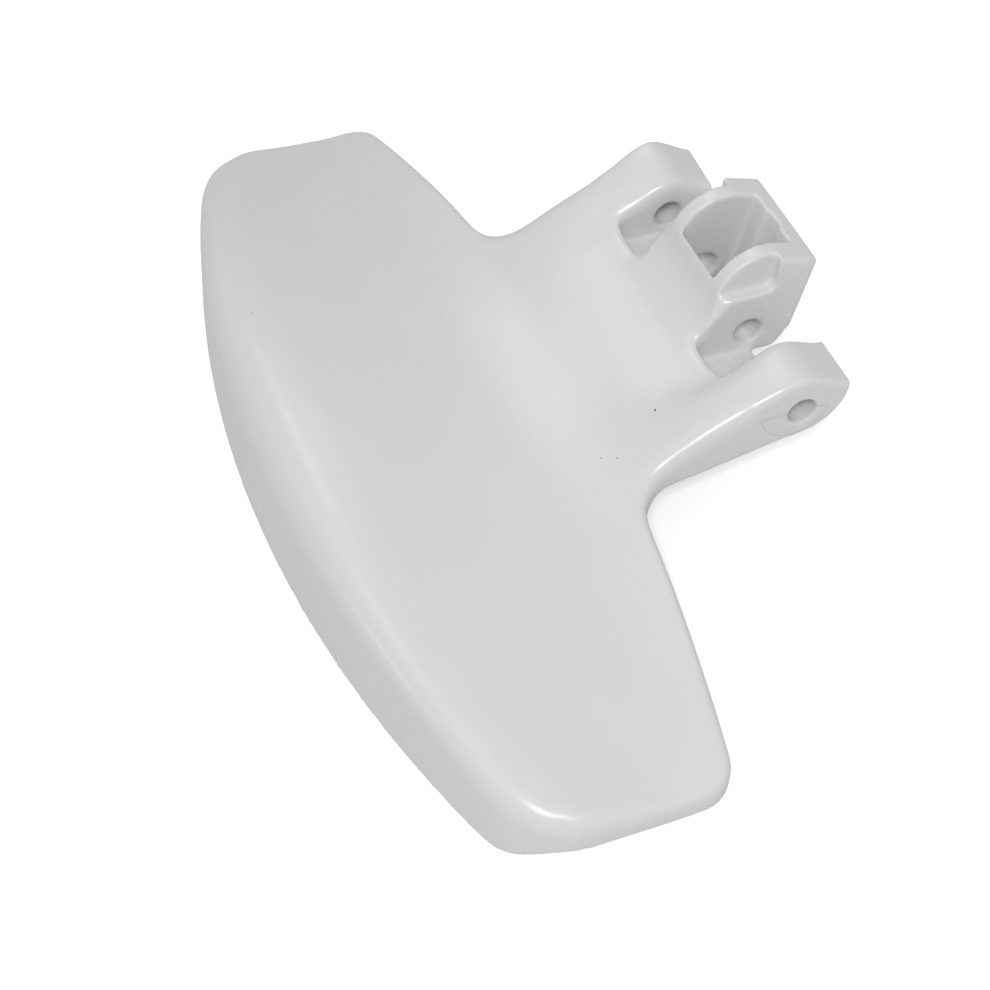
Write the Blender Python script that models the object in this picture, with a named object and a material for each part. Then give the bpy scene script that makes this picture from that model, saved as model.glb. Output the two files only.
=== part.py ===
"""Door handle of a front-loading washing machine: one white moulding.

The handle is drawn in its hinge frame: X runs along the pin, +Y points from the grip to the hinge
end, +Z is the face that looks out of the door, and the origin is the middle of the pin's axis.
An empty then lays it down as it comes to rest on a table, on the two ends of its lip and on the
corners of its shoulders, with the hinge end in the air.
"""
import math
from collections import namedtuple

import bmesh
import bpy
from mathutils import Matrix, Vector

MM = 0.001

# Plan of the grip
GRIP_LENGTH = 133.0 * MM
LIP_FROM_PIN = 66.8 * MM
LIP_RADIUS = 174.0 * MM
LIP_CORNER_RADIUS = 12.0 * MM
SHOULDER_FROM_PIN = 22.7 * MM
SHOULDER_RADIUS = 475.0 * MM
SHOULDER_CORNER_RADIUS = 4.5 * MM
NOTCH_RADIUS = 6.0 * MM
NECK_WIDTH = 50.0 * MM
NECK_SECTION_FROM_PIN = 10.4 * MM

# Profile of the face along the neck's sides: a flat, then four arcs that run into each other, up the
# neck and over the top of the ears. Slopes are those at the end of each arc. The profile hangs from
# the ears' highest line, so the flat finds its own height and its arcs start where they have to.
EAR_TOP_ABOVE_PIN = 5.65 * MM
EAR_TOP_FROM_PIN = 0.45 * MM
SWEEP_RADIUS = 36.9 * MM
SWEEP_SLOPE = math.radians(31.0)
CREST_RADIUS = 90.0 * MM
CREST_SLOPE = math.radians(25.0)
RISE_RADIUS = 420.0 * MM
RISE_SLOPE = math.radians(24.2)
EAR_CROWN_RADIUS = 7.0 * MM
EAR_END_SLOPE = math.radians(-22.0)

# The face is domed along the grip; the dome fades out in the neck
DOME_RADIUS = 262.0 * MM
DOME_FULL_FROM_PIN = 27.0 * MM
DOME_GONE_FROM_PIN = 16.0 * MM

# The middle of the neck lies lower than its sides. The dip has flanks that steepen towards the
# slots, and it runs out on the inner edges of the ears.
DIP = 1.9 * MM
DIP_START_FROM_PIN = 22.0 * MM
DIP_FULL_FROM_PIN = 9.5 * MM
DIP_RUNS_OUT_FROM_PIN = 5.5 * MM
DIP_FLANK_HALF_WIDE = 8.0 * MM
DIP_FLANK_HALF_TIGHT = 2.0 * MM
DIP_TIGHT_FROM_PIN = 8.5 * MM

# Only the left ear carries a hump on its outer edge
HUMP = 1.4 * MM
HUMP_AT_END = 0.6 * MM
HUMP_START_FROM_PIN = 5.8 * MM
HUMP_FULL_FROM_PIN = 1.2 * MM

# Lip: a low crown along the edge, rolled over into a deep flange
LIP_EDGE_BELOW_PIN = 24.2 * MM
CROWN_HEIGHT = 1.3 * MM
ROLL_MIDDLE = 5.2 * MM
ROLL_CORNER = 3.2 * MM
ROLL_DEPTH_RATIO = 1.3

# Walls and edges
WALL = 2.4 * MM
FACE_WALL = 2.0 * MM
LIP_ROOF = 3.6 * MM
END_RIM_HEIGHT = 3.7 * MM
EDGE_ROUND = 1.1 * MM
NECK_EDGE_ROUND = 1.7 * MM
EAR_EDGE_ROUND = 0.7 * MM
INNER_ROUND = 0.6 * MM
INNER_FLAT = 0.6 * MM

# Ears
BORE_DIAMETER = 4.1 * MM
EAR_THICKNESS = 8.6 * MM
EAR_END_FROM_PIN = 6.7 * MM
EAR_HEEL_RADIUS = 7.3 * MM
EAR_HEEL_ABOVE_PIN = 3.1 * MM
UNDERSIDE_SLOPE = 0.21

# Slots between the ears and the block, and the web that closes them below
SLOT_START_FROM_PIN = 8.0 * MM
SLOT_FLOOR_BELOW_PIN = 3.2 * MM
SLOT_FILLET = 1.2 * MM
WEB_END_FROM_PIN = 0.9 * MM

# Block: arched side walls around a hollow that takes the latch hook
BLOCK_WIDTH = 18.0 * MM
BLOCK_ARCH_RADIUS = 7.2 * MM
BLOCK_ARCH_FROM_PIN = 2.2 * MM
BLOCK_ARCH_ABOVE_PIN = 4.9 * MM
BLOCK_TOP_SLOPE = math.radians(-16.0)
BLOCK_LIP_ANGLE = math.radians(168.0)
BLOCK_FRONT_RADIUS = 8.4 * MM
BLOCK_END_FROM_PIN = 6.65 * MM
BLOCK_END_LEAN = 0.2
BLOCK_STEP_BELOW_PIN = 1.2 * MM
BLOCK_STEP = 0.6 * MM
BLOCK_SOLE_INSET = 0.3 * MM
BLOCK_SOLE_CHAMFER = 1.3 * MM
BLOCK_EDGE_ROUND = 0.35 * MM

# Hollow of the block, the keyway in its end wall and the pockets on the outer sides
HOLLOW_WIDTH = 10.0 * MM
HOLLOW_FRONT_FROM_PIN = 4.3 * MM
HOLLOW_END_WALL = 2.6 * MM
KEYWAY_WIDTH = 3.4 * MM
KEYWAY_DEPTH = 0.45 * MM
POCKET_DEPTH = 1.6 * MM
POCKET_FLOOR_ABOVE_PIN = 6.5 * MM
POCKET_END_FROM_PIN = 3.2 * MM
POCKET_FILLET = 1.5 * MM

# Ribs on the back
RIB_THICKNESS = 2.0 * MM
NECK_RIB_FROM_MIDDLE = 8.0 * MM
WING_RIB_FROM_MIDDLE = 38.0 * MM
RIB_FOOT_ABOVE_LIP_EDGE = 7.0 * MM
RIB_ABOVE_RIM = 1.0 * MM

# How far a shape reaches into its neighbour before they are joined, and a cutter past a face
EMBED = 1.0 * MM
CLEAR = 4.0 * MM

# Fineness of the mesh
NECK_END_STEPS = 8
NECK_SIDE_STEPS = 3
NOTCH_STEPS = 6
SHOULDER_STEPS = 9
CORNER_HALF_STEPS = 3
END_STEPS = 9
BAND_STEPS = 4
ROLL_STEPS = 6
INNER_ROLL_STEPS = 3
RISE_STEPS = 4
HEEL_STEPS = 10
ARC_STEPS = 12
BORE_SIDES = 40
SMOOTHING_ROUNDS = 30

HALF = GRIP_LENGTH / 2
HALF_NECK = NECK_WIDTH / 2
LIP_CENTRE_Y = LIP_RADIUS - LIP_FROM_PIN
SHOULDER_CENTRE_Y = -SHOULDER_FROM_PIN - SHOULDER_RADIUS
SECTION_Y = -NECK_SECTION_FROM_PIN
EAR_INNER = HALF_NECK - EAR_THICKNESS
BLOCK_HALF = BLOCK_WIDTH / 2
HEEL_Y = EAR_END_FROM_PIN - EAR_HEEL_RADIUS

PROFILE_ARCS = (
    (SWEEP_RADIUS, SWEEP_SLOPE),
    (-CREST_RADIUS, CREST_SLOPE),
    (-RISE_RADIUS, RISE_SLOPE),
    (-EAR_CROWN_RADIUS, EAR_END_SLOPE),
)

Sample = namedtuple("Sample", "point normal lip neck")


def ease(value, start, end):
    """Go smoothly from 0 at start to 1 at end."""
    t = min(max((value - start) / (end - start), 0.0), 1.0)
    return t * t * (3.0 - 2.0 * t)


def mix(a, b, t):
    return a + (b - a) * t


def profile_start():
    """Where the flat ends and how high it lies, counted back from the ears' highest line."""
    reach, rise, slope = 0.0, 0.0, 0.0
    for radius, end_slope in PROFILE_ARCS:
        end_slope = max(end_slope, 0.0)
        reach += radius * (math.sin(end_slope) - math.sin(slope))
        rise += radius * (math.cos(slope) - math.cos(end_slope))
        slope = end_slope
    return -EAR_TOP_FROM_PIN - reach, EAR_TOP_ABOVE_PIN - rise


def side_height(y):
    """Height of the profile along the neck's sides. A negative radius bends downwards."""
    slope = 0.0
    start, height = profile_start()
    if y <= start:
        return height
    for radius, end_slope in PROFILE_ARCS:
        end = start + radius * (math.sin(end_slope) - math.sin(slope))
        if y <= end:
            sine = math.sin(slope) + (y - start) / radius
            return height + radius * (math.cos(slope) - math.sqrt(1.0 - sine ** 2))
        height += radius * (math.cos(slope) - math.cos(end_slope))
        start, slope = end, end_slope
    return height + (y - start) * math.tan(slope)


def inside_lip(x, y):
    """Distance in plan from the lip's outer arc."""
    return LIP_RADIUS - math.hypot(x, y - LIP_CENTRE_Y)


def roll_width(x):
    """The roll of the lip is widest in the middle and tightens towards its ends."""
    return mix(ROLL_MIDDLE, ROLL_CORNER, ease(abs(x), 0.0, HALF - LIP_CORNER_RADIUS))


def dip(x, y):
    """How far the neck's middle lies below its sides. Its flanks follow the ears' inner sides."""
    tight = ease(y, -DIP_START_FROM_PIN, -DIP_TIGHT_FROM_PIN)
    half = mix(DIP_FLANK_HALF_WIDE, DIP_FLANK_HALF_TIGHT, tight)
    middle = EAR_INNER + DIP_FLANK_HALF_TIGHT / 2 - (half - DIP_FLANK_HALF_TIGHT) / 2
    across = 1.0 - ease(abs(x), middle - half, middle + half)
    along = ease(y, -DIP_START_FROM_PIN, -DIP_FULL_FROM_PIN) * (1.0 - ease(y, -DIP_RUNS_OUT_FROM_PIN, 0.0))
    return DIP * across * along


def face_height(x, y):
    dome = DOME_RADIUS - math.sqrt(DOME_RADIUS ** 2 - x ** 2)
    dome *= 1.0 - ease(y, -DOME_FULL_FROM_PIN, -DOME_GONE_FROM_PIN)
    roll = roll_width(x)
    crown = CROWN_HEIGHT * (1.0 - ease(inside_lip(x, y), roll, 2.0 * roll))
    return side_height(y) - dome - dip(x, y) + crown


def underside(y, inset=0.0):
    """Lower edge of the neck and of the ears' round heels, or a line parallel to it inside."""
    reach = y - HEEL_Y
    radius = EAR_HEEL_RADIUS - inset
    if reach <= 0.0:
        return EAR_HEEL_ABOVE_PIN - radius + reach * UNDERSIDE_SLOPE
    return EAR_HEEL_ABOVE_PIN - math.sqrt(max(radius ** 2 - reach ** 2, 0.0))


def arc(centre_x, centre_y, radius, start, end, steps):
    """Points along an arc, each with its radial direction, both ends included."""
    made = []
    for step in range(steps + 1):
        angle = mix(start, end, step / steps)
        radial = Vector((math.cos(angle), math.sin(angle)))
        made.append((Vector((centre_x, centre_y)) + radial * radius, radial))
    return made


def outline_half():
    """Samples along the right half of the plan outline, from the middle of the lip to the neck.

    The second and third results are the numbers of the samples where the grid of the face turns.
    """
    corner_x = HALF - LIP_CORNER_RADIUS
    corner_y = LIP_CENTRE_Y - math.sqrt((LIP_RADIUS - LIP_CORNER_RADIUS) ** 2 - corner_x ** 2)
    lip_end = math.atan2(corner_y - LIP_CENTRE_Y, corner_x)
    shoulder_x = HALF - SHOULDER_CORNER_RADIUS
    reach = SHOULDER_RADIUS - SHOULDER_CORNER_RADIUS
    shoulder_y = SHOULDER_CENTRE_Y + math.sqrt(reach ** 2 - shoulder_x ** 2)
    shoulder_end = math.atan2(shoulder_y - SHOULDER_CENTRE_Y, shoulder_x)
    notch_x = HALF_NECK + NOTCH_RADIUS
    notch_y = SHOULDER_CENTRE_Y + math.sqrt((SHOULDER_RADIUS + NOTCH_RADIUS) ** 2 - notch_x ** 2)
    notch_start = math.atan2(notch_y - SHOULDER_CENTRE_Y, notch_x)
    right = Vector((1.0, 0.0))

    steps = NECK_END_STEPS + NECK_SIDE_STEPS + NOTCH_STEPS + SHOULDER_STEPS
    lip = arc(0.0, LIP_CENTRE_Y, LIP_RADIUS, -math.pi / 2, lip_end, steps)
    samples = [Sample(point, radial, 1.0, 0.0) for point, radial in lip[:-1]]
    corner = arc(corner_x, corner_y, LIP_CORNER_RADIUS, lip_end, 0.0, 2 * CORNER_HALF_STEPS)
    for index, (point, radial) in enumerate(corner):
        samples.append(Sample(point, radial, 1.0 - ease(index, 0.0, len(corner) - 1), 0.0))
    first_turn = len(samples) - 1 - CORNER_HALF_STEPS

    for step in range(1, END_STEPS):
        y = mix(corner_y, shoulder_y, step / END_STEPS)
        samples.append(Sample(Vector((HALF, y)), right, 0.0, 0.0))

    corner = arc(shoulder_x, shoulder_y, SHOULDER_CORNER_RADIUS, 0.0, shoulder_end, 2 * CORNER_HALF_STEPS)
    samples.extend(Sample(point, radial, 0.0, 0.0) for point, radial in corner)
    second_turn = len(samples) - 1 - CORNER_HALF_STEPS
    shoulder = arc(0.0, SHOULDER_CENTRE_Y, SHOULDER_RADIUS, shoulder_end, notch_start, SHOULDER_STEPS)
    samples.extend(Sample(point, radial, 0.0, 0.0) for point, radial in shoulder[1:])

    notch = arc(notch_x, notch_y, NOTCH_RADIUS, notch_start - math.pi, -math.pi, NOTCH_STEPS)
    for index, (point, radial) in enumerate(notch[1:], start=1):
        samples.append(Sample(point, -radial, 0.0, ease(index, 0.0, NOTCH_STEPS)))
    for step in range(1, NECK_SIDE_STEPS + 1):
        y = mix(notch_y, SECTION_Y, step / NECK_SIDE_STEPS)
        samples.append(Sample(Vector((HALF_NECK, y)), right, 0.0, 1.0))
    return samples, first_turn, second_turn


def roll_of(sample):
    edge = mix(EDGE_ROUND, NECK_EDGE_ROUND, sample.neck)
    return mix(edge, roll_width(sample.point.x), sample.lip)


def patch_inset(sample):
    return mix(WALL + INNER_ROUND + INNER_FLAT, 2.0 * roll_width(sample.point.x), sample.lip)


def inset_plan(sample, inset):
    return sample.point - sample.normal * inset


def place(sample, inset, height):
    plan = inset_plan(sample, inset)
    return Vector((plan.x, plan.y, height))


def face_place(sample, inset, drop):
    plan = inset_plan(sample, inset)
    return Vector((plan.x, plan.y, face_height(plan.x, plan.y) - drop))


def rim_height(sample):
    top = face_place(sample, roll_of(sample), 0.0).z
    low = min(top - END_RIM_HEIGHT, underside(sample.point.y))
    return mix(low, -LIP_EDGE_BELOW_PIN, sample.lip)


def extrude_chain(bm, chain, places):
    """Extrude a chain of vertices to new places; the new chain keeps the order."""
    edges = [bm.edges.get(pair) for pair in zip(chain, chain[1:])]
    made = bmesh.ops.extrude_edge_only(bm, edges=edges)["geom"]
    fresh = {item for item in made if isinstance(item, bmesh.types.BMVert)}
    grown = []
    for vert, target in zip(chain, places):
        partner = next(edge.other_vert(vert) for edge in vert.link_edges if edge.other_vert(vert) in fresh)
        partner.co = target
        grown.append(partner)
    return grown


def face_patch(bm, outline, drop):
    """Lay a grid of quads over the middle of the plan and lift it onto the face.

    Returns the chain of its rim from the lip to the neck's side, and the row across the neck.
    """
    samples, first_turn, second_turn = outline
    ring = [inset_plan(sample, patch_inset(sample)) for sample in samples]
    across = [Vector((ring[-1].x * (1.0 - step / NECK_END_STEPS), SECTION_Y))
              for step in range(1, NECK_END_STEPS + 1)]
    columns = first_turn
    rows = second_turn - first_turn
    front = ring[:first_turn + 1]
    side = ring[first_turn:second_turn + 1]
    back = (ring[second_turn:] + across)[::-1]
    middle = [front[0].lerp(back[0], row / rows) for row in range(rows + 1)]

    made = bmesh.ops.create_grid(bm, x_segments=columns, y_segments=rows, size=1.0)["verts"]
    made.sort(key=lambda vert: (round(vert.co.y, 5), round(vert.co.x, 5)))
    grid = [made[row * (columns + 1):(row + 1) * (columns + 1)] for row in range(rows + 1)]
    for row, line in enumerate(grid):
        v = row / rows
        for column, vert in enumerate(line):
            u = column / columns
            corners = front[0].lerp(front[-1], u).lerp(back[0].lerp(back[-1], u), v)
            plan = front[column].lerp(back[column], v) + middle[row].lerp(side[row], u) - corners
            vert.co = (plan.x, plan.y, 0.0)
    inside = [vert for line in grid[1:-1] for vert in line[1:-1]]
    for _ in range(SMOOTHING_ROUNDS):
        bmesh.ops.smooth_vert(bm, verts=inside, factor=0.5, use_axis_x=True, use_axis_y=True)
    for vert in made:
        vert.co.z = face_height(vert.co.x, vert.co.y) - drop

    chain = grid[0] + [line[-1] for line in grid[1:]] + grid[-1][NECK_END_STEPS:-1][::-1]
    return chain, grid[-1][:NECK_END_STEPS]


def grip_half(bm):
    """Right half of the grip and neck: a shell with a rim, and the solid hinge end grown from it."""
    outline = outline_half()
    samples = outline[0]
    outer, across = face_patch(bm, outline, 0.0)
    section = [outer[-1]]

    for step in range(1, BAND_STEPS + 1):
        share = step / BAND_STEPS
        insets = [mix(patch_inset(sample), roll_of(sample), share) for sample in samples]
        outer = extrude_chain(bm, outer, [face_place(s, inset, 0.0) for s, inset in zip(samples, insets)])
        section.append(outer[-1])
    for step in range(1, ROLL_STEPS + 1):
        angle = math.pi / 2 * step / ROLL_STEPS
        targets = []
        for sample in samples:
            roll = roll_of(sample)
            top = face_place(sample, roll, 0.0).z
            drop = roll * ROLL_DEPTH_RATIO * (1.0 - math.cos(angle))
            targets.append(place(sample, roll * (1.0 - math.sin(angle)), top - drop))
        outer = extrude_chain(bm, outer, targets)
        section.append(outer[-1])
    outer = extrude_chain(bm, outer, [place(s, 0.0, rim_height(s)) for s in samples])
    section.append(outer[-1])

    inner = extrude_chain(bm, outer, [place(s, WALL, rim_height(s)) for s in samples])
    section.append(inner[-1])
    end_wall = [inner[-1]]
    for step in range(INNER_ROLL_STEPS + 1):
        angle = math.pi / 2 * step / INNER_ROLL_STEPS
        targets = []
        for sample in samples:
            roof = mix(FACE_WALL, LIP_ROOF, sample.lip)
            top = face_place(sample, WALL + INNER_ROUND, roof).z
            inset = WALL + INNER_ROUND * (1.0 - math.cos(angle))
            targets.append(place(sample, inset, top - INNER_ROUND * (1.0 - math.sin(angle))))
        inner = extrude_chain(bm, inner, targets)
        end_wall.append(inner[-1])
    inner = extrude_chain(bm, inner, [face_place(s, patch_inset(s), FACE_WALL) for s in samples])
    back, back_across = face_patch(bm, outline, FACE_WALL)
    bmesh.ops.weld_verts(bm, targetmap=dict(zip(inner, back)))
    end_wall.append(back[-1])
    end_wall.extend(reversed(back_across))

    foot = bm.verts.new((0.0, SECTION_Y, section[-1].co.z))
    bm.edges.new((section[-1], foot))
    bm.faces.new(end_wall + [foot])
    hinge_end(bm, across + section + [foot])


def hinge_end(bm, chain):
    """Grow the neck's section over the hinge, to the sharp ends of the ears, and close it."""
    starts = [vert.co.copy() for vert in chain]
    drops = [face_height(start.x, SECTION_Y) - start.z for start in starts]
    stations = [mix(SECTION_Y, HEEL_Y, step / RISE_STEPS) for step in range(1, RISE_STEPS + 1)]
    for step in range(1, HEEL_STEPS + 1):
        stations.append(HEEL_Y + EAR_HEEL_RADIUS * math.sin(math.pi / 2 * step / HEEL_STEPS))
    on_sole = len(chain) - 3
    edge_drop = NECK_EDGE_ROUND * ROLL_DEPTH_RATIO
    for y in stations:
        sole = underside(y)
        fading = mix(1.0, EAR_EDGE_ROUND / NECK_EDGE_ROUND, ease(y, SECTION_Y, HEEL_Y))
        scale = min(fading, 0.5 * (side_height(y) - sole) / edge_drop)
        targets = []
        for index, start in enumerate(starts):
            height = sole if index >= on_sole else face_height(start.x, y) - drops[index] * scale
            on_round = HALF_NECK - NECK_EDGE_ROUND - start.x < 1e-6 and index < on_sole
            x = HALF_NECK - (HALF_NECK - start.x) * scale if on_round else start.x
            targets.append(Vector((x, y, height)))
        chain = extrude_chain(bm, chain, targets)
    bm.faces.new(chain)


def finish_mesh(bm, name):
    bmesh.ops.recalc_face_normals(bm, faces=bm.faces)
    mesh = bpy.data.meshes.new(name)
    bm.to_mesh(mesh)
    bm.free()
    obj = bpy.data.objects.new(name, mesh)
    bpy.context.scene.collection.objects.link(obj)
    return obj


def hump(x, y):
    """Height of the hump, which stands on the left ear's outer edge and fades towards its inner one."""
    along = mix(HUMP, HUMP_AT_END, ease(y, 0.0, EAR_END_FROM_PIN))
    along *= ease(y, -HUMP_START_FROM_PIN, -HUMP_FULL_FROM_PIN)
    return along * ease(-x, EAR_INNER, HALF_NECK - EAR_EDGE_ROUND)


def body():
    bm = bmesh.new()
    grip_half(bm)
    bmesh.ops.mirror(bm, geom=bm.verts[:] + bm.edges[:] + bm.faces[:], axis="X", merge_dist=1e-6)
    for vert in bm.verts:
        x, y, z = vert.co
        if y > SECTION_Y and z > mix(underside(y), side_height(y), 0.45):
            vert.co.z += hump(x, y)
    bmesh.ops.triangulate(bm, faces=bm.faces[:])
    return finish_mesh(bm, "handle")


def plate(bm, outline, x_from, x_to):
    """A solid with the given outline in the YZ plane, between two positions along the pin."""
    face = bm.faces.new([bm.verts.new((x_from, y, z)) for y, z in outline])
    made = bmesh.ops.extrude_face_region(bm, geom=[face])["geom"]
    verts = [item for item in made if isinstance(item, bmesh.types.BMVert)]
    bmesh.ops.translate(bm, verts=verts, vec=(x_to - x_from, 0.0, 0.0))
    return verts


def block_end(z):
    """The block's end face leans over the hinge end."""
    return BLOCK_END_FROM_PIN + BLOCK_END_LEAN * (z + BLOCK_STEP_BELOW_PIN)


def block():
    """Side view of the block, from the step at its foot, over the arch and down the front."""
    step_z = -BLOCK_STEP_BELOW_PIN
    outline = [(block_end(step_z) - BLOCK_STEP, step_z), (block_end(step_z), step_z)]
    arch_y, arch_z = BLOCK_ARCH_FROM_PIN, BLOCK_ARCH_ABOVE_PIN
    top_angle = math.pi / 2 + BLOCK_TOP_SLOPE
    arch = [point for point, _ in arc(arch_y, arch_z, BLOCK_ARCH_RADIUS, top_angle, BLOCK_LIP_ANGLE, ARC_STEPS)]
    slope = math.tan(BLOCK_TOP_SLOPE)
    rise = arch[0].y - slope * arch[0].x
    end_z = (rise + slope * block_end(0.0)) / (1.0 - slope * BLOCK_END_LEAN)
    outline.append((block_end(end_z), end_z))
    outline.extend(point[:] for point in arch)

    # The front is hollowed out by an arc that starts on the neck's surface
    lip = arch[-1]
    lip_slope = math.radians(78.0)
    centre = lip + Vector((-math.sin(lip_slope), math.cos(lip_slope))) * BLOCK_FRONT_RADIUS
    front = arc(centre.x, centre.y, BLOCK_FRONT_RADIUS, lip_slope - math.pi / 2,
                CREST_SLOPE - math.pi / 2, ARC_STEPS)
    outline.extend(point[:] for point, _ in front[1:])
    root_y = SECTION_Y + EMBED / 2
    outline.append((root_y, face_height(0.0, root_y) - EMBED))
    outline.append((root_y, underside(root_y, BLOCK_SOLE_INSET)))
    outline.append((HEEL_Y, underside(HEEL_Y, BLOCK_SOLE_INSET)))
    sole_z = underside(HEEL_Y, BLOCK_SOLE_INSET)
    foot_y = block_end(sole_z) - BLOCK_STEP
    outline.append((foot_y - BLOCK_SOLE_CHAMFER, sole_z))
    outline.append((foot_y, sole_z + BLOCK_SOLE_CHAMFER))

    bm = bmesh.new()
    plate(bm, outline, -BLOCK_HALF, BLOCK_HALF)
    rounded = [edge for edge in bm.edges
               if abs(edge.verts[0].co.x - edge.verts[1].co.x) < EMBED
               and min(vert.co.z for vert in edge.verts) > step_z - EMBED / 2]
    bmesh.ops.bevel(bm, geom=rounded, offset=BLOCK_EDGE_ROUND, offset_type="OFFSET", segments=2,
                    profile=0.5, affect="EDGES", material=-1)
    return finish_mesh(bm, "block")


def slots():
    """Cutter for the slots: down to the web in front, right through behind it."""
    high = BLOCK_ARCH_ABOVE_PIN + BLOCK_ARCH_RADIUS + CLEAR
    low = -EAR_HEEL_RADIUS - CLEAR
    floor = -SLOT_FLOOR_BELOW_PIN
    beyond = EAR_END_FROM_PIN + CLEAR
    fillet = arc(-SLOT_START_FROM_PIN + SLOT_FILLET, floor + SLOT_FILLET, SLOT_FILLET,
                 -math.pi, -math.pi / 2, ARC_STEPS // 2)
    outline = [(-SLOT_START_FROM_PIN, high)]
    outline.extend(point[:] for point, _ in fillet)
    outline.extend([(WEB_END_FROM_PIN, floor), (WEB_END_FROM_PIN, low), (beyond, low), (beyond, high)])
    bm = bmesh.new()
    plate(bm, outline, -EAR_INNER, EAR_INNER)
    return finish_mesh(bm, "slots")


def hollow_and_pockets():
    """Cutter for the block's hollow with its keyway, and for the pockets on both outer sides."""
    high = BLOCK_ARCH_ABOVE_PIN + BLOCK_ARCH_RADIUS + CLEAR
    low = -EAR_HEEL_RADIUS - CLEAR
    half = HOLLOW_WIDTH / 2
    key = KEYWAY_WIDTH / 2
    front = -HOLLOW_FRONT_FROM_PIN
    end = block_end(low) - HOLLOW_END_WALL
    deep = end + KEYWAY_DEPTH
    plan = [(-half, front), (half, front), (half, end), (key, end), (key, deep), (-key, deep),
            (-key, end), (-half, end)]
    bm = bmesh.new()
    face = bm.faces.new([bm.verts.new((x, y, low)) for x, y in plan])
    made = bmesh.ops.extrude_face_region(bm, geom=[face])["geom"]
    top = [item for item in made if isinstance(item, bmesh.types.BMVert)]
    bmesh.ops.translate(bm, verts=top, vec=(0.0, 0.0, high - low))
    leaning = [vert for vert in top if vert.co.y > front + EMBED]
    bmesh.ops.translate(bm, verts=leaning, vec=(0.0, BLOCK_END_LEAN * (high - low), 0.0))

    floor = POCKET_FLOOR_ABOVE_PIN
    fillet = arc(POCKET_END_FROM_PIN - POCKET_FILLET, floor + POCKET_FILLET, POCKET_FILLET,
                 -math.pi / 2, 0.0, ARC_STEPS // 2)
    outline = [(-SLOT_START_FROM_PIN, floor)]
    outline.extend(point[:] for point, _ in fillet)
    outline.extend([(POCKET_END_FROM_PIN, high), (-SLOT_START_FROM_PIN, high)])
    for side in (-1.0, 1.0):
        plate(bm, outline, side * (BLOCK_HALF - POCKET_DEPTH), side * (BLOCK_HALF + CLEAR))
    return finish_mesh(bm, "hollow_and_pockets")


def rib_outline(x):
    """Side view of a rib from the neck or shoulder to the lip, sunk into the walls it joins."""
    lip_y = LIP_CENTRE_Y - math.sqrt(LIP_RADIUS ** 2 - x ** 2) + WALL / 2
    if x < HALF_NECK:
        start_y = SECTION_Y + EMBED
        start_low = underside(start_y) + RIB_ABOVE_RIM
    else:
        start_y = SHOULDER_CENTRE_Y + math.sqrt(SHOULDER_RADIUS ** 2 - x ** 2) - WALL / 2
        start_low = face_height(x, start_y) - END_RIM_HEIGHT + RIB_ABOVE_RIM
    roof_end = lip_y + ROLL_MIDDLE
    outline = [(start_y, start_low)]
    for step in range(ARC_STEPS + 1):
        y = mix(start_y, roof_end, step / ARC_STEPS)
        outline.append((y, face_height(x, y) - FACE_WALL + EMBED))
    foot = -LIP_EDGE_BELOW_PIN + RIB_FOOT_ABOVE_LIP_EDGE
    outline.append((lip_y, face_height(x, lip_y) - LIP_ROOF - EMBED))
    outline.append((lip_y, foot))
    return outline


def ribs():
    bm = bmesh.new()
    for x in (NECK_RIB_FROM_MIDDLE, WING_RIB_FROM_MIDDLE):
        outline = rib_outline(x)
        for side in (-1.0, 1.0):
            plate(bm, outline, side * (x - RIB_THICKNESS / 2), side * (x + RIB_THICKNESS / 2))
    return finish_mesh(bm, "ribs")


def bore():
    bm = bmesh.new()
    bmesh.ops.create_cone(bm, cap_ends=True, segments=BORE_SIDES, radius1=BORE_DIAMETER / 2,
                          radius2=BORE_DIAMETER / 2, depth=NECK_WIDTH + 2 * CLEAR,
                          matrix=Matrix.Rotation(math.pi / 2, 4, "Y"))
    return finish_mesh(bm, "bore")


def combine(obj, other, operation):
    """Join or cut with a second solid, which is then no longer needed."""
    modifier = obj.modifiers.new(other.name, "BOOLEAN")
    modifier.object = other
    modifier.operation = operation
    modifier.solver = "EXACT"
    graph = bpy.context.evaluated_depsgraph_get()
    made = bpy.data.meshes.new_from_object(obj.evaluated_get(graph))
    obj.modifiers.clear()
    obj.data = made
    bpy.data.objects.remove(other, do_unlink=True)


def lowest(points, tilt):
    """Lowest height of the points once they are turned about the pin."""
    return min(point.z * math.cos(tilt) + point.y * math.sin(tilt) for point in points)


def rest_tilt(points):
    """Turn about the pin that brings the lip and the shoulders down to the same level."""
    lip = [point for point in points if point.y < -2.0 * SHOULDER_FROM_PIN]
    others = [point for point in points if point.y >= -2.0 * SHOULDER_FROM_PIN]
    level, steep = 0.0, -math.pi / 4
    for _ in range(40):
        tilt = (level + steep) / 2
        if lowest(lip, tilt) < lowest(others, tilt):
            level = tilt
        else:
            steep = tilt
    return (level + steep) / 2


def lay_down(obj):
    points = [vert.co.copy() for vert in obj.data.vertices]
    turn = Matrix.Rotation(rest_tilt(points), 3, "X")
    turned = [turn @ point for point in points]
    reach = [point.y for point in turned]
    pose = bpy.data.objects.new("rest_pose", None)
    bpy.context.scene.collection.objects.link(pose)
    pose.rotation_euler = turn.to_euler()
    pose.location = (0.0, -(min(reach) + max(reach)) / 2, -min(point.z for point in turned))
    obj.parent = pose


def white_plastic():
    material = bpy.data.materials.new("white_gloss_plastic")
    material.use_nodes = True
    shader = material.node_tree.nodes["Principled BSDF"]
    shader.inputs["Base Color"].default_value = (0.69, 0.69, 0.685, 1.0)
    shader.inputs["Roughness"].default_value = 0.28
    shader.inputs["IOR"].default_value = 1.49
    return material


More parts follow.
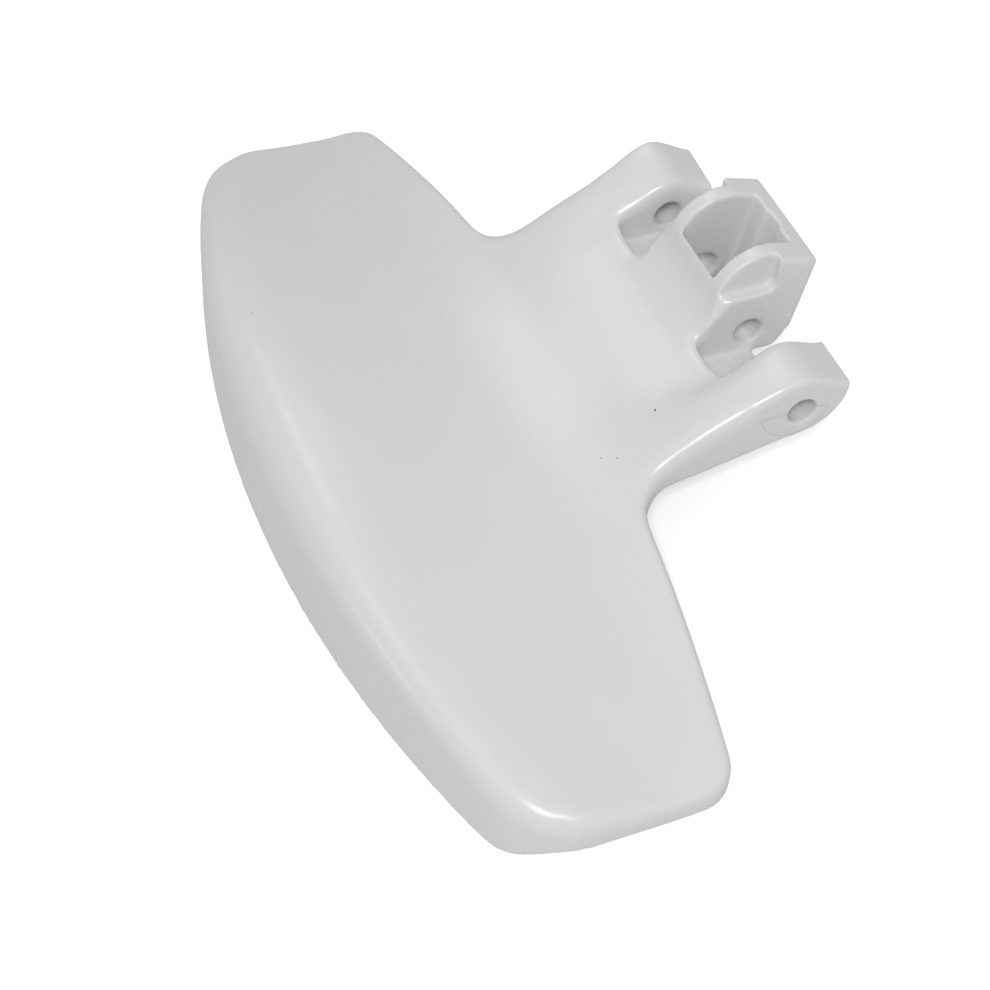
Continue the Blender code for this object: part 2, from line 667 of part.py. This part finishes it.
def main():
    for obj in list(bpy.data.objects):
        bpy.data.objects.remove(obj, do_unlink=True)
    handle = body()
    combine(handle, slots(), "DIFFERENCE")
    combine(handle, ribs(), "UNION")
    combine(handle, block(), "UNION")
    combine(handle, hollow_and_pockets(), "DIFFERENCE")
    combine(handle, bore(), "DIFFERENCE")
    mesh = handle.data
    mesh.shade_smooth()
    mesh.set_sharp_from_angle(angle=math.radians(32.0))
    mesh.materials.clear()
    mesh.materials.append(white_plastic())
    lay_down(handle)


main()
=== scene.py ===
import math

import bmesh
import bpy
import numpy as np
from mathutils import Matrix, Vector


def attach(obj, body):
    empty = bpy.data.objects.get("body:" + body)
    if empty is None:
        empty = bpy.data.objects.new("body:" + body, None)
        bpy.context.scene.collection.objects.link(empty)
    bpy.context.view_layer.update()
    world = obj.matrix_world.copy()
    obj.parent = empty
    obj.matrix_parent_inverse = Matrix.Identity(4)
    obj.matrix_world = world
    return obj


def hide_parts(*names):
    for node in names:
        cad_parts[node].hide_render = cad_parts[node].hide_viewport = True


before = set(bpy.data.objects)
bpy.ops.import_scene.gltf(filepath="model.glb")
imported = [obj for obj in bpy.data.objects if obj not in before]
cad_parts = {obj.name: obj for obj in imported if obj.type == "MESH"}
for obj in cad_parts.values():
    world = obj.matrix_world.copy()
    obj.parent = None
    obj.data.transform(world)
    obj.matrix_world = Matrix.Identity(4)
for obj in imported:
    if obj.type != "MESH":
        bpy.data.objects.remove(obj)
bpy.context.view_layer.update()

# %% [markdown]
# # A washing machine door handle
#
# The handle is one injection moulding in glossy white plastic. It has a curved grip with a rolled
# lip, a neck that sweeps up to the hinge, two ears, and a hollow block between the ears.
#
# Everything is in metres. The handle lies on the ends of its lip and on its shoulders, with X along
# the hinge pin, Y from the lip towards the hinge and Z up.

MM = 0.001


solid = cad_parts["handle"]
print("triangles in the solid:", len(solid.data.polygons))

# %% [markdown]
# ## The camera
#
# The photograph looks down on the handle from the right of the hinge, with the lip running away to
# the left. A camera is placed by three directions: where its right side points, where its top
# points, and where it looks, which is the opposite of its own Z axis. Written as the columns of a
# matrix they set place and turn in one go, and no tracking constraint is needed.

# %% Place the camera
CAMERA_PLACE = Vector((0.1937, -0.04616, 0.23885))
CAMERA_LOOK = Vector((-0.6074, 0.12034, -0.78517))
CAMERA_RIGHT = Vector((0.3760, 0.91426, -0.15073))
CAMERA_LENS = 80.65
CAMERA_FILM = 36.0
CAMERA_NEAREST = 0.01


def facing_matrix(place, look, right):
    """The matrix of a camera or lamp that stands at a place and looks a given way."""
    back = -look.normalized()
    side = (right - right.dot(back) * back).normalized()
    top = back.cross(side)
    turn = Matrix((side, top, back)).transposed().to_4x4()
    return Matrix.Translation(place) @ turn


def product_camera():
    data = bpy.data.cameras.new("product_camera")
    data.sensor_width = CAMERA_FILM
    data.lens = CAMERA_LENS
    data.clip_start = CAMERA_NEAREST
    camera = bpy.data.objects.new("product_camera", data)
    camera.matrix_world = facing_matrix(CAMERA_PLACE, CAMERA_LOOK, CAMERA_RIGHT)
    bpy.context.scene.collection.objects.link(camera)
    return camera


bpy.context.scene.camera = product_camera()
print("camera is", round(CAMERA_PLACE.length, 3), "m away")

# %% [markdown]
# ## The moulded skin
#
# A moulding has no sharp corners: every edge of the steel tool is a little round, and so is every
# inner corner where two walls meet. The solid has exact edges and its curves are made of flats.
# So a copy of it is first welded, and its loose triangles are joined into four-sided faces. The
# edges that turn by more than 30 degrees get a crease, so that subdivision rounds the flats of the
# curves and leaves the corners where they are.

# %% Copy and weld the solid
WELD = 0.00001
CREASE_ANGLE = math.radians(30.0)
JOIN_ANGLE = math.radians(12.0)
JOIN_SKEW = math.radians(50.0)


def welded_copy(source, name):
    form = bmesh.new()
    form.from_mesh(source.data)
    bmesh.ops.remove_doubles(form, verts=form.verts, dist=WELD)
    bmesh.ops.join_triangles(
        form,
        faces=form.faces,
        angle_face_threshold=JOIN_ANGLE,
        angle_shape_threshold=JOIN_SKEW,
    )
    crease = form.edges.layers.float.new("crease_edge")
    sharp = [
        edge
        for edge in form.edges
        if not edge.is_manifold or edge.calc_face_angle() > CREASE_ANGLE
    ]
    for edge in sharp:
        edge[crease] = 1.0
    mesh = bpy.data.meshes.new(name)
    form.to_mesh(mesh)
    print(name, "has", len(form.faces), "faces and", len(sharp), "creased edges")
    form.free()
    piece = bpy.data.objects.new(name, mesh)
    bpy.context.scene.collection.objects.link(piece)
    return piece


handle = welded_copy(solid, "moulded_handle")

# %% [markdown]
# The corners are rounded next. Beveling the hundreds of short edges left by joined shapes would
# tangle, so the skin is laid again as an even grid of small faces with the Remesh modifier in voxel
# mode, and some passes of the Smooth modifier then melt the corners to the third of a millimetre
# that such a moulding has. The modifiers are applied, so the piece is a plain mesh.

# %% Lay the skin again and melt its corners
CURVE_LEVELS = 2
SKIN_GRAIN = 0.26 * MM
MELT_SHARE = 0.5
MELT_PASSES = 9


def apply_modifiers(piece):
    graph = bpy.context.evaluated_depsgraph_get()
    finished = bpy.data.meshes.new_from_object(piece.evaluated_get(graph))
    piece.modifiers.clear()
    rough = piece.data
    piece.data = finished
    bpy.data.meshes.remove(rough)


rounding = handle.modifiers.new("rounded curves", "SUBSURF")
rounding.levels = CURVE_LEVELS
rounding.render_levels = CURVE_LEVELS
skin = handle.modifiers.new("even skin", "REMESH")
skin.mode = "VOXEL"
skin.voxel_size = SKIN_GRAIN
melt = handle.modifiers.new("melted corners", "SMOOTH")
melt.factor = MELT_SHARE
melt.iterations = MELT_PASSES
apply_modifiers(handle)
print("skin faces:", len(handle.data.polygons))

# %% [markdown]
# ## Soft places
#
# Some places on the handle are rounder than the rest. They are easiest to name in the hinge's own
# frame, with the pin as the X axis and the face level. The handle rests tilted, so the skin's
# points, and the ways they face, are first turned back into that frame. Blender hands over whole
# lists of points with foreach_get, which is much faster than a loop over them.

# %% Turn the points into the hinge's frame
PIN_PLACE = Vector((0.0, 29.716, 11.507)) * MM
REST_TILT = math.radians(-12.839)

hinge_frame = Matrix.Translation(PIN_PLACE) @ Matrix.Rotation(REST_TILT, 4, "X")


def point_rows(mesh, what):
    """The places ("co") or facings ("normal") of all points, one row each."""
    rows = np.empty(len(mesh.vertices) * 3)
    mesh.vertices.foreach_get(what, rows)
    return rows.reshape(-1, 3)


turn = np.array(hinge_frame.to_3x3())
skin_points = point_rows(handle.data, "co")
places = (skin_points - np.array(PIN_PLACE)) @ turn
facings = point_rows(handle.data, "normal") @ turn
print("points in the hinge's frame:", len(places))

# %% [markdown]
# Along the lip the face rises to a low crown, where the plastic rolls over. Behind the crown the
# real face runs down more gently than it does on the solid, so the points there are lifted. The lift
# is the difference between two slopes: one that has run out two rolls behind the lip, as on the
# solid, and one that takes more than five. Points that don't face up are left where they are.

# %% Fill the face behind the crown
LIP_RADIUS = 174.0 * MM
LIP_FROM_PIN = 66.8 * MM
CROWN_HEIGHT = 1.3 * MM
ROLL_MIDDLE = 5.2 * MM
ROLL_CORNER = 3.2 * MM
CORNER_FROM_MIDDLE = 54.5 * MM
SOLID_SLOPE_ROLLS = 2.0
REAL_SLOPE_ROLLS = 5.5
FACING_UP = 0.5


def ease(value, start, end):
    """0 up to the start, 1 from the end on, and a soft S between them."""
    share = np.clip((value - start) / (end - start), 0.0, 1.0)
    return share * share * (3.0 - 2.0 * share)


from_lip = LIP_RADIUS - np.hypot(places[:, 0], places[:, 1] - (LIP_RADIUS - LIP_FROM_PIN))
towards_corner = ease(np.abs(places[:, 0]), 0.0, CORNER_FROM_MIDDLE)
roll = ROLL_MIDDLE + (ROLL_CORNER - ROLL_MIDDLE) * towards_corner
on_face = ease(facings[:, 2], 0.0, FACING_UP)
solid_slope = ease(from_lip, roll, SOLID_SLOPE_ROLLS * roll)
real_slope = ease(from_lip, roll, REAL_SLOPE_ROLLS * roll)
lift = CROWN_HEIGHT * (solid_slope - real_slope) * on_face
upward = np.array(hinge_frame.to_3x3() @ Vector((0.0, 0.0, 1.0)))
handle.data.vertices.foreach_set("co", (skin_points + lift[:, None] * upward).ravel())
print("face lifted by at most", round(float(lift.max()) / MM, 2), "mm")

# %% [markdown]
# Now each soft place gives its points a weight between 0 and 1: the crown along the lip, the flank
# below it, the side edges of the neck, the inner edges of the ears, the front edges of the slots,
# the corner of the pocket and the foot of the block, where it flows out of the neck. An edge is
# named by its corners, and a point's weight falls off with its distance from the line that joins
# them. The hinge is the same on both sides, so the left points are held against the right edges.

# %% Weigh the soft places
CROWN_FADES_IN = (0.15, 0.6)
CROWN_FADES_OUT = (3.0, 5.0)
FLANK_LOW = -22.0 * MM
FLANK_DEPTH = 1.2 * MM
EDGE_REACH = 2.2 * MM
NECK_REACH = 3.6 * MM
FOOT_REACH = 3.2 * MM
POCKET_REACH = 1.3 * MM
FULL_SHARE = 0.4

# Corners of the soft edges in millimetres, on the right side of the hinge
EAR_EDGE = (
    (16.4, -8.0, 1.3),
    (16.4, -5.5, 2.5),
    (16.4, -3.0, 4.3),
    (16.4, -0.9, 5.5),
    (16.4, 0.5, 5.6),
    (16.4, 4.8, 4.1),
)
NECK_EDGE = ((24.2, -10.4, 1.4), (24.2, -15.3, -1.2), (24.2, -19.5, -3.7), (25.5, -24.5, -6.5))
SLOT_EDGE = ((9.0, -8.0, 1.0), (16.4, -8.0, 1.3))
POCKET_CORNER = ((8.8, -5.2, 5.2), (8.8, -4.6, 6.7))
BLOCK_FOOT = ((0.0, -9.5, 0.4), (9.0, -9.5, 0.4))


def near_edge(places, corners, reach):
    """1 along the lines between the corners, fading to 0 at the reach."""
    weight = np.zeros(len(places))
    for start, end in zip(corners, corners[1:]):
        start, end = np.array(start) * MM, np.array(end) * MM
        along = end - start
        share = np.clip((places - start) @ along / (along @ along), 0.0, 1.0)
        distance = np.linalg.norm(places - start - share[:, None] * along, axis=1)
        weight = np.maximum(weight, 1.0 - ease(distance, FULL_SHARE * reach, reach))
    return weight


rolls_from_lip = from_lip / roll
soft = on_face * ease(rolls_from_lip, *CROWN_FADES_IN) * (1.0 - ease(rolls_from_lip, *CROWN_FADES_OUT))
on_flank = ease(places[:, 2], FLANK_LOW, FLANK_LOW + EDGE_REACH) * (from_lip < FLANK_DEPTH)
soft = np.maximum(soft, on_flank)
right_side = np.column_stack((np.abs(places[:, 0]), places[:, 1], places[:, 2]))
for corners, reach in (
    (EAR_EDGE, EDGE_REACH),
    (NECK_EDGE, NECK_REACH),
    (SLOT_EDGE, EDGE_REACH),
    (POCKET_CORNER, POCKET_REACH),
    (BLOCK_FOOT, FOOT_REACH),
):
    soft = np.maximum(soft, near_edge(right_side, corners, reach))
print("mean weight:", round(float(soft.mean()), 3))

# %% [markdown]
# The weights go into a vertex group, and a Smooth modifier with many passes works on that group
# alone. The group is taken off again afterwards, because nothing else uses it.

# %% Smooth the soft places
LEAST_WEIGHT = 0.01
SOFT_SHARE = 0.5
SOFT_PASSES = 110

soft_points = np.flatnonzero(soft > LEAST_WEIGHT)
group = handle.vertex_groups.new(name="soft places")
for index in soft_points:
    group.add([int(index)], float(soft[index]), "REPLACE")
flow = handle.modifiers.new("soft places", "SMOOTH")
flow.factor = SOFT_SHARE
flow.iterations = SOFT_PASSES
flow.vertex_group = group.name
apply_modifiers(handle)
handle.vertex_groups.clear()
handle.data.polygons.foreach_set("use_smooth", [True] * len(handle.data.polygons))
print("soft points:", len(soft_points))

# %% [markdown]
# The even skin has more faces than a shared part needs, so a Decimate modifier thins it out. Gloss
# shows every small flat that this leaves. So the facings of the full skin are carried over to the
# thinner one by a Data Transfer modifier, and it shines as if it still had all its faces.

# %% Thin the skin out
MOST_TRIANGLES = 190000

full_skin = bpy.data.objects.new("full_skin", handle.data.copy())
bpy.context.scene.collection.objects.link(full_skin)
thin = handle.modifiers.new("fewer faces", "DECIMATE")
thin.ratio = MOST_TRIANGLES / (2 * len(handle.data.polygons))
shine = handle.modifiers.new("facings of the full skin", "DATA_TRANSFER")
shine.object = full_skin
shine.use_loop_data = True
shine.data_types_loops = {"CUSTOM_NORMAL"}
shine.loop_mapping = "POLYINTERP_NEAREST"
apply_modifiers(handle)
full_mesh = full_skin.data
bpy.data.objects.remove(full_skin)
bpy.data.meshes.remove(full_mesh)
print("faces left:", len(handle.data.polygons))

# %% [markdown]
# ## White plastic
#
# Gloss plastic of this kind is a pale neutral grey-white with a clear shine. Close up it is never
# perfectly even: its tone drifts a little, the surface waves where it cooled, and the shine is
# duller where fingers rub. Each of these is a noise in Object coordinates, which stay on the piece
# whatever the view. A few helpers keep the node trees short: each adds a node and its links.

# %% Node helpers
def add_node(tree, kind, place, **settings):
    node = tree.nodes.new(kind)
    node.location = place
    for name, value in settings.items():
        setattr(node, name, value)
    return node


def feed(tree, socket, value):
    """Fill a socket with a fixed value, or with the output of another node."""
    if isinstance(value, bpy.types.NodeSocket):
        tree.links.new(value, socket)
    else:
        socket.default_value = value


def noise(tree, place, vector, scale, detail):
    node = add_node(tree, "ShaderNodeTexNoise", place)
    node.inputs["Scale"].default_value = scale
    node.inputs["Detail"].default_value = detail
    tree.links.new(vector, node.inputs["Vector"])
    return node.outputs["Fac"]


def remap(tree, place, value, source, target):
    node = add_node(tree, "ShaderNodeMapRange", place)
    for socket, number in zip(("From Min", "From Max", "To Min", "To Max"), source + target):
        node.inputs[socket].default_value = number
    tree.links.new(value, node.inputs["Value"])
    return node.outputs["Result"]


def reckon(tree, place, operation, *values):
    """A Math node; each value is a number or the output of another node."""
    node = add_node(tree, "ShaderNodeMath", place, operation=operation)
    for socket, value in zip(node.inputs, values):
        feed(tree, socket, value)
    return node.outputs["Value"]


def blend(tree, place, share, first, second):
    """Mix two colours; each is a fixed colour or the output of another node."""
    node = add_node(tree, "ShaderNodeMix", place, data_type="RGBA")
    for name, value in (("Factor", share), ("A", first), ("B", second)):
        feed(tree, node.inputs[name], value)
    return node.outputs["Result"]


def raised(tree, place, height, strength, depth, below=None, **settings):
    """A Bump node, which may lie on top of another one."""
    node = add_node(tree, "ShaderNodeBump", place, **settings)
    node.inputs["Strength"].default_value = strength
    node.inputs["Distance"].default_value = depth
    tree.links.new(height, node.inputs["Height"])
    if below is not None:
        tree.links.new(below, node.inputs["Normal"])
    return node.outputs["Normal"]


# %% [markdown]
# Two small marks are left on the moulding. The steel of each ear's side is a separate insert in the
# tool, and its edge leaves a fine line in the shape of a D around the bore: a straight line along
# the ear and an arc below it. And a few dark specks of dust lie on the face. Both are masks, worked
# out from the place on the handle, and both are kept in node groups, since they only put out a
# value.
#
# The first group turns the place back into the hinge's frame with a Mapping node of the type
# Texture, which takes a turn and a shift away. What is at the right distance from the middle of the
# arc and below the straight line is the arc, and what is inside the arc at the line's height is the
# line. Both only count on the outer sides of the ears.

# %% Mask of the insert's line
EAR_SIDE = 24.7 * MM
MARK_HALF_WIDTH = 0.07 * MM
MARK_LINE_HEIGHT = 0.3 * MM
MARK_CENTRE = (-1.1 * MM, 1.2 * MM)
MARK_RADIUS = 5.0 * MM


def mask_group(name):
    tree = bpy.data.node_groups.new(name, "ShaderNodeTree")
    tree.interface.new_socket("Place", in_out="INPUT", socket_type="NodeSocketVector")
    tree.interface.new_socket("Mask", in_out="OUTPUT", socket_type="NodeSocketFloat")
    start = add_node(tree, "NodeGroupInput", (-1400, 0))
    end = add_node(tree, "NodeGroupOutput", (1200, 0))
    return tree, start, end


def insert_line():
    tree, start, end = mask_group("insert_line")
    back = add_node(tree, "ShaderNodeMapping", (-1200, 0), vector_type="TEXTURE")
    back.inputs["Location"].default_value = PIN_PLACE
    back.inputs["Rotation"].default_value = (REST_TILT, 0.0, 0.0)
    tree.links.new(start.outputs["Place"], back.inputs["Vector"])
    parts = add_node(tree, "ShaderNodeSeparateXYZ", (-1000, 0))
    tree.links.new(back.outputs["Vector"], parts.inputs["Vector"])
    x, y, z = parts.outputs

    out = reckon(tree, (-800, 300), "ABSOLUTE", x)
    side = reckon(tree, (-600, 300), "GREATER_THAN", out, EAR_SIDE)
    along = reckon(tree, (-800, 0), "SUBTRACT", y, MARK_CENTRE[0])
    up = reckon(tree, (-800, -300), "SUBTRACT", z, MARK_CENTRE[1])
    squares = reckon(
        tree, (-400, -100), "ADD",
        reckon(tree, (-600, 0), "POWER", along, 2.0),
        reckon(tree, (-600, -300), "POWER", up, 2.0),
    )
    distance = reckon(tree, (-200, -100), "SQRT", squares)
    ring = reckon(tree, (0, 0), "COMPARE", distance, MARK_RADIUS, MARK_HALF_WIDTH)
    low = reckon(tree, (0, -200), "LESS_THAN", z, MARK_LINE_HEIGHT)
    inside = reckon(tree, (0, -400), "LESS_THAN", distance, MARK_RADIUS)
    level = reckon(tree, (0, -600), "COMPARE", z, MARK_LINE_HEIGHT, MARK_HALF_WIDTH)
    arc = reckon(tree, (300, 0), "MULTIPLY", ring, low)
    line = reckon(tree, (300, -400), "MULTIPLY", inside, level)
    both = reckon(tree, (600, -200), "MAXIMUM", arc, line)
    tree.links.new(reckon(tree, (900, 0), "MULTIPLY", both, side), end.inputs["Mask"])
    return tree


line_mask = insert_line()
print("nodes in the mask of the line:", len(line_mask.nodes))

# %% [markdown]
# The specks are four small balls of space. What lies inside one of them is dust.

# %% Mask of the dust
# Middle and radius of each speck in millimetres
SPECKS = (
    (16.48, 12.55, 13.2, 0.17),
    (18.76, 3.46, 11.16, 0.1),
    (19.93, 5.27, 11.34, 0.09),
    (-23.04, -30.22, 18.01, 0.12),
)


def dust_specks():
    tree, start, end = mask_group("dust_specks")
    total = 0.0
    for row, (x, y, z, radius) in enumerate(SPECKS):
        height = -250 * row
        away = add_node(tree, "ShaderNodeVectorMath", (-1000, height), operation="DISTANCE")
        tree.links.new(start.outputs["Place"], away.inputs[0])
        away.inputs[1].default_value = Vector((x, y, z)) * MM
        near = reckon(tree, (-700, height), "LESS_THAN", away.outputs["Value"], radius * MM)
        total = reckon(tree, (-400 + 250 * row, height), "MAXIMUM", total, near)
    tree.links.new(total, end.inputs["Mask"])
    return tree


dust_mask = dust_specks()
print("nodes in the mask of the dust:", len(dust_mask.nodes))

# %% [markdown]
# The material itself is one Principled BSDF. The masks and the slow drift of the tone feed its
# colour, a fine noise feeds its roughness, and two Bump nodes on top of each other feed its normal:
# the waves of the surface, and the groove of the insert's line.

# %% White gloss plastic
PLASTIC_LIGHT = (0.693, 0.693, 0.693, 1.0)
PLASTIC_SHADE = (0.679, 0.679, 0.679, 1.0)
PLASTIC_IOR = 1.5
MARK_GREY = (0.3, 0.3, 0.3, 1.0)
MARK_SHARE = 0.35
DUST_GREY = (0.12, 0.12, 0.12, 1.0)
DRIFT_SCALE = 45.0
RUB_SCALE = 260.0
WAVE_SCALE = 120.0
NOISE_MIDDLE = (0.3, 0.7)
ROUGHNESS = (0.25, 0.31)
WAVE_STRENGTH = 0.04
WAVE_HEIGHT = 0.2 * MM
GROOVE_STRENGTH = 0.5
GROOVE_DEPTH = 0.05 * MM


def use_mask(tree, place, group, where):
    node = add_node(tree, "ShaderNodeGroup", place, node_tree=group)
    tree.links.new(where, node.inputs["Place"])
    return node.outputs["Mask"]


def white_gloss():
    material = bpy.data.materials.new("white_gloss_plastic")
    material.use_nodes = True
    tree = material.node_tree
    shader = tree.nodes["Principled BSDF"]
    shader.inputs["IOR"].default_value = PLASTIC_IOR
    place = add_node(tree, "ShaderNodeTexCoord", (-1200, 0)).outputs["Object"]

    drift = noise(tree, (-900, 300), place, DRIFT_SCALE, 2.0)
    share = remap(tree, (-700, 300), drift, NOISE_MIDDLE, (0.0, 1.0))
    plain = blend(tree, (-500, 300), share, PLASTIC_SHADE, PLASTIC_LIGHT)
    line = use_mask(tree, (-900, 600), line_mask, place)
    faint = reckon(tree, (-700, 600), "MULTIPLY", line, MARK_SHARE)
    lined = blend(tree, (-300, 400), faint, plain, MARK_GREY)
    speck = use_mask(tree, (-900, 800), dust_mask, place)
    colour = blend(tree, (-100, 500), speck, lined, DUST_GREY)
    tree.links.new(colour, shader.inputs["Base Color"])

    rub = noise(tree, (-900, 0), place, RUB_SCALE, 2.0)
    roughness = remap(tree, (-700, 0), rub, NOISE_MIDDLE, ROUGHNESS)
    tree.links.new(roughness, shader.inputs["Roughness"])

    wave = noise(tree, (-900, -300), place, WAVE_SCALE, 1.0)
    waves = raised(tree, (-500, -300), wave, WAVE_STRENGTH, WAVE_HEIGHT)
    groove = raised(
        tree, (-300, -300), line, GROOVE_STRENGTH, GROOVE_DEPTH, below=waves, invert=True
    )
    tree.links.new(groove, shader.inputs["Normal"])
    return material


handle.data.materials.clear()
handle.data.materials.append(white_gloss())
print("plastic nodes:", len(handle.data.materials[0].node_tree.nodes))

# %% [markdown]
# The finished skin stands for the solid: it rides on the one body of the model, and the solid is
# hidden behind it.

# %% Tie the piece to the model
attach(handle, "root")
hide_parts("handle")
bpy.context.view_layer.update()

# %% [markdown]
# ## Floor and light
#
# The handle lies on a pale matt floor. A product picture has plain white behind the object, so for
# rays that come straight from the camera the floor adds a little glow of its own. A Light Path node
# tells those rays apart, and no other light falls on the handle by it. The glow lifts the lit floor
# to white, and the shadow of the handle stays, because the matt part of the floor is darker there.
# Far from the handle the lamps reach less of the floor, so the glow rises with the distance.

# %% Pale floor
WHITE = (1.0, 1.0, 1.0, 1.0)
FLOOR_SIZE = 6.0
FLOOR_GREY = (0.7, 0.7, 0.7, 1.0)
FLOOR_ROUGHNESS = 0.9
FLOOR_GLOW = 0.5
FAR_GLOW = 0.76
FAR_FROM_HANDLE = 2.0


def seen_ray(tree, place):
    """1 for rays straight from the camera or through something clear, 0 for all others."""
    ray = add_node(tree, "ShaderNodeLightPath", place)
    return reckon(
        tree, (place[0] + 200, place[1]), "MAXIMUM",
        ray.outputs["Is Camera Ray"],
        ray.outputs["Is Transmission Ray"],
    )


def floor_paint():
    material = bpy.data.materials.new("pale_floor")
    material.use_nodes = True
    tree = material.node_tree
    shader = tree.nodes["Principled BSDF"]
    shader.inputs["Base Color"].default_value = FLOOR_GREY
    shader.inputs["Roughness"].default_value = FLOOR_ROUGHNESS
    shader.inputs["Emission Color"].default_value = WHITE
    place = add_node(tree, "ShaderNodeTexCoord", (-1200, -600)).outputs["Object"]
    away = add_node(tree, "ShaderNodeVectorMath", (-1000, -600), operation="LENGTH")
    tree.links.new(place, away.inputs[0])
    rise = remap(
        tree, (-800, -600), away.outputs["Value"], (0.0, FAR_FROM_HANDLE), (FLOOR_GLOW, FAR_GLOW)
    )
    glow = reckon(tree, (-200, -300), "MULTIPLY", seen_ray(tree, (-800, -300)), rise)
    tree.links.new(glow, shader.inputs["Emission Strength"])
    return material


def pale_floor():
    form = bmesh.new()
    bmesh.ops.create_grid(form, x_segments=1, y_segments=1, size=FLOOR_SIZE / 2)
    mesh = bpy.data.meshes.new("pale_floor")
    form.to_mesh(mesh)
    form.free()
    mesh.materials.append(floor_paint())
    floor = bpy.data.objects.new("pale_floor", mesh)
    bpy.context.scene.collection.objects.link(floor)
    return floor


floor = pale_floor()
print("floor is", FLOOR_SIZE, "m wide")

# %% [markdown]
# The light is that of a white tent: an even glow from all round, and four soft lamps. The key lamp
# hangs near the camera and shines into the bores, so that only a dark crescent is left at their
# upper rims. The fill lamp hangs across from the camera and lights the walls that face away from
# it. The streak lamp hangs high over the lip and draws the long streaks on the side of the neck and
# on the far ear. The roll lamp stands low in front of the lip for the bright line on its roll.
# A lamp is given by its compass angle and its height angle in degrees, its distance and the two
# sides of its sheet in metres, and its power in watts.

# %% Soft lamps
LAMPS = (
    ("key_lamp", -14.0, 55.0, 1.0, (0.22, 0.22), 5.0),
    ("fill_lamp", 166.0, 50.0, 1.0, (0.35, 0.35), 0.9),
    ("streak_lamp", -128.0, 66.0, 1.0, (0.4, 0.3), 0.4),
    ("roll_lamp", -102.0, 4.0, 0.9, (0.2, 0.08), 0.25),
)


def soft_lamp(name, compass, height, distance, sides, watts):
    turn = math.radians(compass)
    rise = math.radians(height)
    flat = math.cos(rise)
    way = Vector((flat * math.cos(turn), flat * math.sin(turn), math.sin(rise)))
    data = bpy.data.lights.new(name, "AREA")
    data.shape = "RECTANGLE"
    data.size, data.size_y = sides
    data.energy = watts
    lamp = bpy.data.objects.new(name, data)
    across = way.cross(Vector((0.0, 0.0, 1.0)))
    lamp.matrix_world = facing_matrix(distance * way, -way, across)
    bpy.context.scene.collection.objects.link(lamp)
    return lamp


lamps = [soft_lamp(*lamp) for lamp in LAMPS]
print("lamps:", [lamp.name for lamp in lamps])

# %% [markdown]
# The tent is the world around the scene. It is plain white wherever the camera sees it, and gives
# the handle only as much light as the strength below says. The colours are shown as they are
# reckoned, with the Standard view.

# %% White tent
TENT_STRENGTH = 0.44


def white_tent():
    world = bpy.data.worlds.new("white_tent")
    world.use_nodes = True
    tree = world.node_tree
    sky = tree.nodes["Background"]
    sky.inputs["Color"].default_value = WHITE
    seen = seen_ray(tree, (-900, -100))
    strength = remap(tree, (-200, -100), seen, (0.0, 1.0), (TENT_STRENGTH, 1.0))
    tree.links.new(strength, sky.inputs["Strength"])
    return world


bpy.context.scene.world = white_tent()
bpy.context.scene.view_settings.view_transform = "Standard"
print("world:", bpy.context.scene.world.name)
